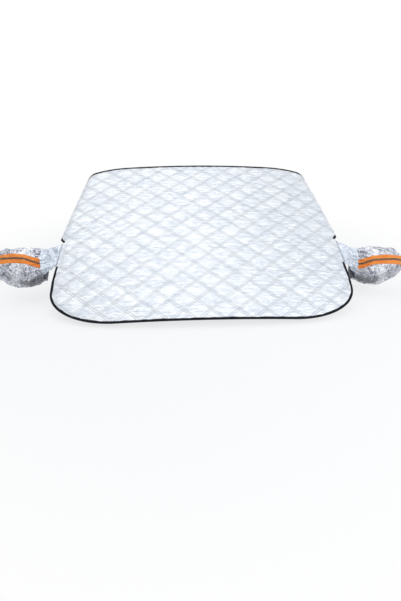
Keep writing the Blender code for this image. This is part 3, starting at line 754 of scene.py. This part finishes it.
black = Finish("black_woven_tape", BINDING_BLACK, 0.8)
black.shader.inputs["Specular IOR Level"].default_value = 0.18
black_weave = black.pattern(woven_tape, BINDING_WEAVE)
black_across = split_place(black.tree, black.place.outputs["UV"])[1]
off_stitch = math_step(
    black.tree, "ABSOLUTE", math_step(black.tree, "SUBTRACT", black_across, BINDING_STITCH_INSET)
)
row_share = math_step(black.tree, "DIVIDE", off_stitch, BINDING_STITCH_HALF_WIDTH)
row_dip = math_step(black.tree, "SMOOTH_MIN", row_share, 1.0, 0.3)
# The black turns lighter where warp and weft cross and stand proud, in patches by the fuzz.
black_shade = black.product(black_weave["Height"], black_weave["Fuzz"])
black.join(black.tint(black_shade, BINDING_BLACK, BINDING_RAISED_GREY), "Base Color")
black.join(black.spread(black_weave["Fuzz"], 0.6, 0.85), "Roughness")
black_relief = black.relief(black_weave["Height"], 0.25)
black.join(black.relief(row_dip, 0.5, black_relief), "Normal")
lower_binding.data.materials.append(black.material)
upper_binding.data.materials.append(black.material)


# Mirror pockets
# A bag of loose coated film on each side, drawn in by elastic at its open inner end and closed outside. It
# is filled out as in use, and its slack film crumples and hangs in folds.
FILM_THICKNESS = 0.0012
MOUTH_REACH = 0.080
MOUTH_FORWARD = 0.026
MOUTH_DROP = 0.046
MOUTH_DEPTH = 0.112
MOUTH_HEIGHT = 0.172
RIGHT_POCKET_HANG = 0.022
POCKET_LENGTH = 0.248
POCKET_DEPTH = 0.152
POCKET_HEIGHT = 0.208
POCKET_SWEEP = 0.036
POCKET_RISE = 0.010
BELLY_AT = 0.26
CLOSING_FROM = 0.36
ROUND_POWER = 2.3
GATHERS = 8
GATHER_DEPTH = 0.045
GATHERS_END_AT = 0.45
CRUMPLE_DEPTH = 0.032
HEM_FOLDS = 27
HEM_FOLD_DEPTH = 0.0028
HEM_FOLDS_FADE_AT = 0.16
FAN_FOLDS = 11
FAN_FOLD_DEPTH = 0.0045
LARGE_CRUMPLE_HEIGHT = 0.014
LARGE_CRUMPLE_LENGTH = 0.052
SMALL_CRUMPLE_HEIGHT = 0.0065
SMALL_CRUMPLE_LENGTH = 0.019
MEAN_FOLD = 0.3
POCKET_ROWS = 150
POCKET_COLUMNS = 230
POCKET_WIDE_FACETS = (0.022, 0.022, 0.028)
POCKET_FINE_FACETS = (0.0085, 0.0085, 0.0095)
POCKET_STREAKS = (0.060, 0.012, 1)
POCKET_SILVER = (0.84, 0.85, 0.91)
POCKET_SHADE = (0.19, 0.20, 0.24)
POCKET_GLINT = (0.97, 0.98, 1.0)
UNDERSIDE_SHADOW_DARK = (0.07, 0.07, 0.08)
UNDERSIDE_SHADOW_LIGHT = (0.32, 0.32, 0.35)
UNDERSIDE_BELOW = 0.088
UNDERSIDE_SLANT = 0.36
UNDERSIDE_HALF_WIDTH = 0.046
UNDERSIDE_LENGTH = 0.230
GLINT_FROM_MOUTH = 0.135
GLINT_HALF_WIDTH = 0.036


def pocket_form(share, angle, side):
    """A pocket's filled shape in right-hand places: an oval carried from the mouth to the closed end.

    The oval grows by the smooth step of share / belly and closes as a superellipse. Its radius swells by
    gathers, cosines of the angle that fade from the mouth, and by two slow sines that make it lopsided.
    """
    seam_v = (SEAM_FOOT_V + SEAM_TOP_V) / 2
    mouth = on_screen(side_half_width(seam_v), seam_v, 0)
    mouth = mouth + (MOUTH_REACH, -MOUTH_FORWARD, -MOUTH_DROP - (RIGHT_POCKET_HANG if side > 0 else 0))
    filling = smooth(share / BELLY_AT)
    closing = np.clip((share - CLOSING_FROM) / (1 - CLOSING_FROM), 0, 1)
    end = (1 - closing**ROUND_POWER) ** (1 / ROUND_POWER)
    half_depth = (MOUTH_DEPTH + (POCKET_DEPTH - MOUTH_DEPTH) * filling) / 2 * end
    half_tall = (MOUTH_HEIGHT + (POCKET_HEIGHT - MOUTH_HEIGHT) * filling) / 2 * end
    gathers = GATHER_DEPTH * (1 - smooth(share / GATHERS_END_AT)) * np.cos(GATHERS * angle)
    crumple = np.sin(3 * angle + 9 * share + 0.6) + 0.7 * np.sin(5 * angle - 13 * share + 2.1)
    swell = 1 + gathers + CRUMPLE_DEPTH * crumple * smooth(share * 4)
    return np.stack([
        mouth[0] + POCKET_LENGTH * share,
        mouth[1] - POCKET_SWEEP * filling - half_depth * swell * np.cos(angle),
        mouth[2] + POCKET_RISE * share + half_tall * swell * np.sin(angle),
    ], axis=-1)


def pocket_film(share, angle, side, lift=0.0):
    """The crumpled skin: the pocket's form moved along its normals by folds, and out by lift.

    Close folds run out from the hem and fade, a fan of wider ones covers the underside, and crumples of two
    sizes cover the rest. The normal is the cross product of the form's slopes over a small step.
    """
    share, angle = np.broadcast_arrays(np.asarray(share, float), np.asarray(angle, float))
    form = pocket_form(share, angle, side)
    small_step = 1e-4
    inner = np.clip(share, 0, 0.995)
    slope_out = pocket_form(inner + small_step, angle, side) - pocket_form(inner - small_step, angle, side)
    slope_up = pocket_form(inner, angle + small_step, side) - pocket_form(inner, angle - small_step, side)
    normal = np.cross(slope_out, slope_up)
    normal /= np.linalg.norm(normal, axis=-1, keepdims=True)
    hem = HEM_FOLD_DEPTH * np.cos(HEM_FOLDS * angle + 2.5 * np.sin(2 * angle) + side)
    hem = hem * np.exp(-share / HEM_FOLDS_FADE_AT) * smooth(share / 0.01 + 0.4)
    fan = FAN_FOLD_DEPTH * np.sin(FAN_FOLDS * angle + 4 * share + side)
    fan = fan * smooth(share * 6) * smooth((0.75 - share) * 3) * smooth(-np.sin(angle) * 1.2 + 0.3)
    large = folds_in_space(form, 9, LARGE_CRUMPLE_LENGTH, 40 + side) - MEAN_FOLD
    small = folds_in_space(form, 10, SMALL_CRUMPLE_LENGTH, 50 + side) - MEAN_FOLD
    loose = smooth(share / 0.06) * smooth((1 - share) / 0.02)
    out = hem + loose * (fan + LARGE_CRUMPLE_HEIGHT * large + SMALL_CRUMPLE_HEIGHT * small) + lift
    placed = form + normal * out[..., None]
    placed[..., 0] *= side
    return placed


def add_wall(piece, thickness, offset):
    """Gives a skin its thickness, inwards with offset -1 and outwards with 1."""
    wall = piece.modifiers.new("wall", "SOLIDIFY")
    wall.thickness = thickness
    wall.offset = offset


def close_pole(piece):
    """Merges the coincident points of a skin's last row into one, so that its cells there are triangles."""
    whole = bmesh.new()
    whole.from_mesh(piece.data)
    bmesh.ops.remove_doubles(whole, verts=whole.verts, dist=1e-7)
    whole.to_mesh(piece.data)
    whole.free()


def turned_out(points, uv, side):
    """Columns in the order that makes faces look out on either side of the cover."""
    return (points, uv) if side < 0 else (points[:, ::-1], uv[:, ::-1])


film = Finish("crumpled_film", POCKET_SILVER, 0.32, 0.6)
film_wide = film.pattern(creased_film, POCKET_WIDE_FACETS, "Object")
film_fine = film.pattern(creased_film, POCKET_FINE_FACETS, "Object")
# Painted reflection: each crumpled facet gets its own brightness, between the film's silver and a painted
# shade, as though it mirrored another part of the room.
film_shade = film.product(
    film.spread(film_wide["Facet"], -0.05, 1.15), film.spread(film_fine["Facet"], -0.4, 2.4)
)
film_color = film.tint(film_shade, POCKET_SILVER, POCKET_SHADE)

# Painted shade: a dark band slants along the underside and fades away from the mouth, and a band of painted
# glints, white highlights, crosses it.
film_streaks = film.noise(3, POCKET_STREAKS)
film_out, film_round = split_place(film.tree, film.place.outputs["UV"])
film_below = math_step(film.tree, "ADD", film_round, UNDERSIDE_BELOW)
film_slant = math_step(film.tree, "MULTIPLY_ADD", film_out, -UNDERSIDE_SLANT, film_below)
film_under = film.near(math_step(film.tree, "ABSOLUTE", film_slant), UNDERSIDE_HALF_WIDTH)
film_dark = film.product(film_under, film.near(film_out, UNDERSIDE_LENGTH))
film_shadow = film.product(film_dark, film.spread(film_streaks, -0.4, 4.2), clamp=True)
# Painted highlight: white glints in a band that crosses the painted shadow.
film_run = math_step(film.tree, "MULTIPLY_ADD", film_round, UNDERSIDE_SLANT, film_out)
film_past = math_step(film.tree, "SUBTRACT", film_run, GLINT_FROM_MOUTH - 0.3 * UNDERSIDE_BELOW)
film_near = film.near(math_step(film.tree, "ABSOLUTE", film_past), GLINT_HALF_WIDTH)
film_glint = film.product(film.spread(film_streaks, -4.4, 5.0), film_near, clamp=True)
# Colour of the painted shadow, flecked by the fine facets.
film_shadow_color = film.tint(film_fine["Facet"], UNDERSIDE_SHADOW_LIGHT, UNDERSIDE_SHADOW_DARK)
film_color = film.tint(film_shadow, film_color, film_shadow_color)
film.join(film.tint(film_glint, film_color, POCKET_GLINT), "Base Color")
film.join(film.spread(film_fine["Facet"], 0.20, 0.46), "Roughness")
film_relief = film.relief(film_wide["Height"], 3.2)
film.join(film.relief(film_fine["Height"], 1.4, film_relief), "Normal")

pocket_share = np.sin(np.linspace(0, math.pi / 2, POCKET_ROWS))[:, None]
pocket_angle = np.linspace(-math.pi, math.pi, POCKET_COLUMNS, endpoint=False)[None, :]
pocket_flat = np.stack(
    np.broadcast_arrays(pocket_share * POCKET_LENGTH, pocket_angle * POCKET_HEIGHT / 2), axis=-1
)
for word, side in (("left", -1), ("right", 1)):
    skin = pocket_film(pocket_share, pocket_angle, side)
    skin[-1] = skin[-1].mean(axis=0)
    skin, skin_uv = turned_out(skin, pocket_flat, side)
    pocket = grid_piece(f"{word}_mirror_bag", skin, skin_uv, close_across=True)
    close_pole(pocket)
    add_wall(pocket, FILM_THICKNESS, -1)
    pocket.data.materials.append(film.material)
    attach(pocket, "root")
    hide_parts(f"{word}_mirror_pocket")


# Pocket necks
# A smooth strip of the same film, sewn under the panel's edge between the two runs of binding. It bridges
# to the top and front of the pocket's mouth, with soft drag folds.
NECK_LAP = 0.010
NECK_LAP_SHARE = 1 / 12
NECK_SINK = 0.0012
NECK_END_MARGIN = 0.006
NECK_LOW_ANGLE = math.radians(-24)
NECK_HIGH_ANGLE = math.radians(112)
NECK_RIM_LAP = 0.002
NECK_RIM_LIFT = 0.0008
NECK_LEAVE_PULL = 0.9
NECK_ARRIVE_PULL = 0.7
NECK_DRAG_DEPTH = 0.0026
NECK_HOLLOW = 0.006
LARGE_NECK_CREASE_HEIGHT = 0.013
LARGE_NECK_CREASE_LENGTH = 0.045
SMALL_NECK_CREASE_HEIGHT = 0.006
SMALL_NECK_CREASE_LENGTH = 0.018
NECK_FOLD_WAY = (0.25, -0.62, 0.74)
NECK_REACH = 0.11
NECK_RISE = 0.14
NECK_ROWS = 100
NECK_COLUMNS = 90
NECK_WIDE_FACETS = (0.030, 0.030, 0.040)
NECK_FINE_FACETS = (0.010, 0.010, 0.012)
NECK_STREAKS = (0.008, 0.045, 1)
NECK_SEAM_END = 0.024
NECK_SEAM_FADE = 0.010
NECK_SILVER = (0.78, 0.83, 0.90)
NECK_SHADE = (0.30, 0.33, 0.40)
SEAM_SHADE = (0.30, 0.33, 0.38)


def neck_film(up, out, side):
    """The neck's skin: a cubic from the panel's edge to the mouth's rim, started by a flat lap.

    up runs from the seam's foot to its top, and out from the lap to the rim. Drag folds are slanting sines
    that fade at both ends, creases of two sizes lie between, and a shallow hollow sinks the middle.
    """
    v = SEAM_FOOT_V + NECK_END_MARGIN + (SEAM_TOP_V - SEAM_FOOT_V - 2 * NECK_END_MARGIN) * up
    edge = on_screen(side_half_width(v), v, -NECK_SINK)
    start = on_screen(side_half_width(v) - NECK_LAP, v, -NECK_SINK)
    angle = NECK_LOW_ANGLE + (NECK_HIGH_ANGLE - NECK_LOW_ANGLE) * up
    rim = pocket_film(0.0, angle, side)
    rim[..., 0] = rim[..., 0] * side + NECK_RIM_LAP
    rim[..., 1:] = rim[..., 1:] + NECK_RIM_LIFT * np.stack([np.cos(angle), -np.sin(angle)], axis=-1)
    t = np.clip((out - NECK_LAP_SHARE) / (1 - NECK_LAP_SHARE), 0, 1)[..., None]
    leave = edge - start
    leave /= np.linalg.norm(leave, axis=-1, keepdims=True)
    leave = leave * (NECK_LEAVE_PULL * MOUTH_REACH)
    arrive = np.array([NECK_ARRIVE_PULL * MOUTH_REACH, 0, 0])
    bridge = (
        edge * (2 * t**3 - 3 * t**2 + 1) + leave * (t**3 - 2 * t**2 + t)
        + rim * (3 * t**2 - 2 * t**3) + arrive * (t**3 - t**2)
    )
    lapped = start + (edge - start) * np.clip(out / NECK_LAP_SHARE, 0, 1)[..., None]
    skin = np.where((out <= NECK_LAP_SHARE)[..., None], lapped, bridge)
    t = t[..., 0]
    drag = NECK_DRAG_DEPTH * np.sin(2 * math.pi * (2.4 * t - 1.1 * up**2) + side) * t * (1 - t) * 4
    large = folds_in_space(skin, 8, LARGE_NECK_CREASE_LENGTH, 60 + side) - MEAN_FOLD
    small = folds_in_space(skin, 8, SMALL_NECK_CREASE_LENGTH, 70 + side) - MEAN_FOLD
    creased = LARGE_NECK_CREASE_HEIGHT * large + SMALL_NECK_CREASE_HEIGHT * small
    creased = creased * smooth(t * 4) * smooth((1 - t) * 5)
    hollow = -NECK_HOLLOW * np.sin(math.pi * t) * np.sin(math.pi * up)
    skin = skin + (drag + creased + hollow)[..., None] * np.array(NECK_FOLD_WAY)
    skin[..., 0] *= side
    return skin


neck_finish = Finish("neck_film", NECK_SILVER, 0.36, 0.4)
neck_wide = neck_finish.pattern(creased_film, NECK_WIDE_FACETS, "Object")
neck_fine = neck_finish.pattern(creased_film, NECK_FINE_FACETS, "Object")
# Painted reflection and shade: facets turn darker or lighter, and streaks along the folds darken them,
# between the film's silver and a painted shade.
neck_facets = neck_finish.product(
    neck_finish.spread(neck_wide["Facet"], -0.2, 0.9), neck_finish.spread(neck_fine["Facet"], -0.1, 1.5)
)
neck_fold_shade = neck_finish.spread(neck_finish.noise(3, NECK_STREAKS), -3.6, 3.6, clamp=True)
neck_shading = math_step(neck_finish.tree, "MAXIMUM", neck_facets, neck_fold_shade)
# Painted shadow: the film darkens in a band next to the seam, where it goes under the panel's edge.
neck_from_lap = split_place(neck_finish.tree, neck_finish.place.outputs["UV"])[0]
neck_to_seam = math_step(neck_finish.tree, "SUBTRACT", NECK_SEAM_END, neck_from_lap)
neck_seam_shadow = math_step(neck_finish.tree, "DIVIDE", neck_to_seam, NECK_SEAM_FADE, clamp=True)
neck_color = neck_finish.tint(neck_shading, NECK_SILVER, NECK_SHADE)
neck_finish.join(neck_finish.tint(neck_seam_shadow, neck_color, SEAM_SHADE), "Base Color")
neck_finish.join(neck_finish.spread(neck_fine["Facet"], 0.28, 0.46), "Roughness")
neck_relief = neck_finish.relief(neck_wide["Height"], 1.6)
neck_finish.join(neck_finish.relief(neck_fine["Height"], 0.5, neck_relief), "Normal")

neck_up, neck_out = np.meshgrid(np.linspace(0, 1, NECK_COLUMNS), np.linspace(0, 1, NECK_ROWS))
neck_flat = np.stack([neck_out * NECK_REACH, neck_up * NECK_RISE], axis=-1)
for word, side in (("left", -1), ("right", 1)):
    neck_skin, neck_uv = turned_out(neck_film(neck_up, neck_out, side), neck_flat, side)
    neck = grid_piece(f"{word}_neck_strip", neck_skin, neck_uv)
    add_wall(neck, FILM_THICKNESS, 0)
    neck.data.materials.append(neck_finish.material)
    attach(neck, "root")
    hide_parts(f"{word}_pocket_neck")


# Mouth elastic
# A flat woven elastic, sewn stretched inside each pocket's hem, so that it draws the film into folds.
ELASTIC_WIDTH = 0.010
ELASTIC_START = 0.002
ELASTIC_SPACE = 0.0028
ELASTIC_THICKNESS = 0.001
ELASTIC_WEAVE = (0.0016, 0.0009, 1)
ELASTIC_WHITE = (0.72, 0.72, 0.71)
ELASTIC_SHADE = (0.48, 0.48, 0.48)

elastic = Finish("woven_elastic", ELASTIC_WHITE, 0.8)
elastic_weave = elastic.pattern(woven_tape, ELASTIC_WEAVE)
elastic.join(elastic.tint(elastic_weave["Height"], ELASTIC_SHADE, ELASTIC_WHITE), "Base Color")
elastic.join(elastic.spread(elastic_weave["Fuzz"], 0.7, 0.9), "Roughness")
elastic.join(elastic.relief(elastic_weave["Height"], 0.4), "Normal")

band_share = np.linspace(ELASTIC_START, ELASTIC_START + ELASTIC_WIDTH, 6)[:, None] / POCKET_LENGTH
band_flat = np.stack(
    np.broadcast_arrays(band_share * POCKET_LENGTH, pocket_angle * MOUTH_HEIGHT / 2), axis=-1
)
for word, side in (("left", -1), ("right", 1)):
    band = pocket_film(band_share, pocket_angle, side, -ELASTIC_SPACE)
    band, band_uv = turned_out(band, band_flat, side)
    hem_band = grid_piece(f"{word}_hem_elastic", band, band_uv, close_across=True)
    add_wall(hem_band, ELASTIC_THICKNESS, -1)
    hem_band.data.materials.append(elastic.material)
    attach(hem_band, "root")
    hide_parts(f"{word}_mouth_elastic")


# Safety tape
# Orange fluorescent tape sewn along each pocket's front, with a grey glass-bead stripe down its middle.
# It follows the crumpled film and arches from the mouth over the pocket's belly.
TAPE_WIDTH = {"orange_safety_tape": 0.048, "grey_bead_stripe": 0.009}
TAPE_LIFT = {"orange_safety_tape": 0.0006, "grey_bead_stripe": 0.0016}
TAPE_COLUMNS = {"orange_safety_tape": 34, "grey_bead_stripe": 8}
TAPE_ROWS = 170
SAFETY_TAPE_THICKNESS = 0.0006
TAPE_ANGLE_AT_MOUTH = math.radians(14)
TAPE_ANGLE_ON_BODY = math.radians(36)
LEFT_TAPE_TURN = math.radians(9)
TAPE_START_SHARE = 0.003 / POCKET_LENGTH
TAPE_END_SHARE = 0.955
TAPE_WEAVE = (0.0009, 0.0009, 1)
TAPE_CLOUDS = (0.03, 0.02, 1)
TAPE_ORANGE = (1.0, 0.26, 0.045)
TAPE_PALE_ORANGE = (1.0, 0.38, 0.08)
TAPE_WEAVE_SHADE = (0.60, 0.14, 0.01)
STRIPE_CLOUDS = (0.02, 0.02, 1)
STRIPE_BEADS_PER_METRE = 1800
STRIPE_GREY = (0.09, 0.055, 0.035)
STRIPE_PALE = (0.21, 0.15, 0.11)


def tape_skin(side, width, lift, columns):
    """A tape's surface on the pocket: rows along its route, columns across its width.

    The centre line's angle climbs by a smooth step as the pocket fills out, and the width is turned into an
    angle by the pocket's own reach there.
    """
    share = np.linspace(TAPE_START_SHARE, TAPE_END_SHARE, TAPE_ROWS)[:, None]
    centre = TAPE_ANGLE_AT_MOUTH + (TAPE_ANGLE_ON_BODY - TAPE_ANGLE_AT_MOUTH) * smooth(share / BELLY_AT)
    centre = centre + (LEFT_TAPE_TURN if side < 0 else 0)
    small_step = 1e-3
    reach = np.linalg.norm(
        pocket_form(share, centre + small_step, 1) - pocket_form(share, centre - small_step, 1), axis=-1
    )
    across = np.linspace(-0.5, 0.5, columns)[None, :] * width
    angle = centre + across * (2 * small_step / reach)
    points = pocket_film(np.broadcast_to(share, angle.shape), angle, side, lift)
    uv = np.stack(np.broadcast_arrays(share * POCKET_LENGTH, across), axis=-1)
    return turned_out(points, uv, side)


orange = Finish("orange_safety_tape", TAPE_ORANGE, 0.5)
orange.shader.inputs["Specular IOR Level"].default_value = 0.25
orange_weave = orange.pattern(woven_tape, TAPE_WEAVE)
orange_cloud = orange.pattern(creased_film, TAPE_CLOUDS)
orange_color = orange.tint(orange_cloud["Facet"], TAPE_ORANGE, TAPE_PALE_ORANGE)
# Painted shade darkens the tape where the weave sinks between its threads.
orange_weave_shade = orange.spread(orange_weave["Height"], 0.25, 0.0)
orange.join(orange.tint(orange_weave_shade, orange_color, TAPE_WEAVE_SHADE), "Base Color")
orange.join(orange.spread(orange_weave["Fuzz"], 0.42, 0.62), "Roughness")
orange_relief = orange.relief(orange_cloud["Height"], 0.8)
orange.join(orange.relief(orange_weave["Height"], 0.2, orange_relief), "Normal")

grey = Finish("grey_bead_stripe", STRIPE_GREY, 0.4)
grey.shader.inputs["Specular IOR Level"].default_value = 0.2
grey_beads = grey.tree.nodes.new("ShaderNodeTexVoronoi")
grey_beads.inputs["Scale"].default_value = STRIPE_BEADS_PER_METRE
grey.tree.links.new(grey.place.outputs["UV"], grey_beads.inputs["Vector"])
grey.join(grey.tint(grey_beads.outputs["Distance"], STRIPE_GREY, STRIPE_PALE), "Base Color")
grey.join(grey.spread(grey.pattern(creased_film, STRIPE_CLOUDS)["Facet"], 0.3, 0.55), "Roughness")
grey.join(grey.relief(grey_beads.outputs["Distance"], 0.08), "Normal")

for word, side in (("left", -1), ("right", 1)):
    for label, node, finish, slot in (
        ("orange_safety_tape", "orange_tape", orange, "orange_tape"),
        ("grey_bead_stripe", "grey_stripe", grey, "grey_reflective_tape"),
    ):
        width = TAPE_WIDTH[label]
        tape_points, tape_uv = tape_skin(side, width, TAPE_LIFT[label], TAPE_COLUMNS[label])
        tape = grid_piece(f"{word}_{label}", tape_points, tape_uv)
        add_wall(tape, SAFETY_TAPE_THICKNESS, 1)
        tape.data.materials.append(finish.material)
        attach(tape, "root")
        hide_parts(f"{word}_{node}")
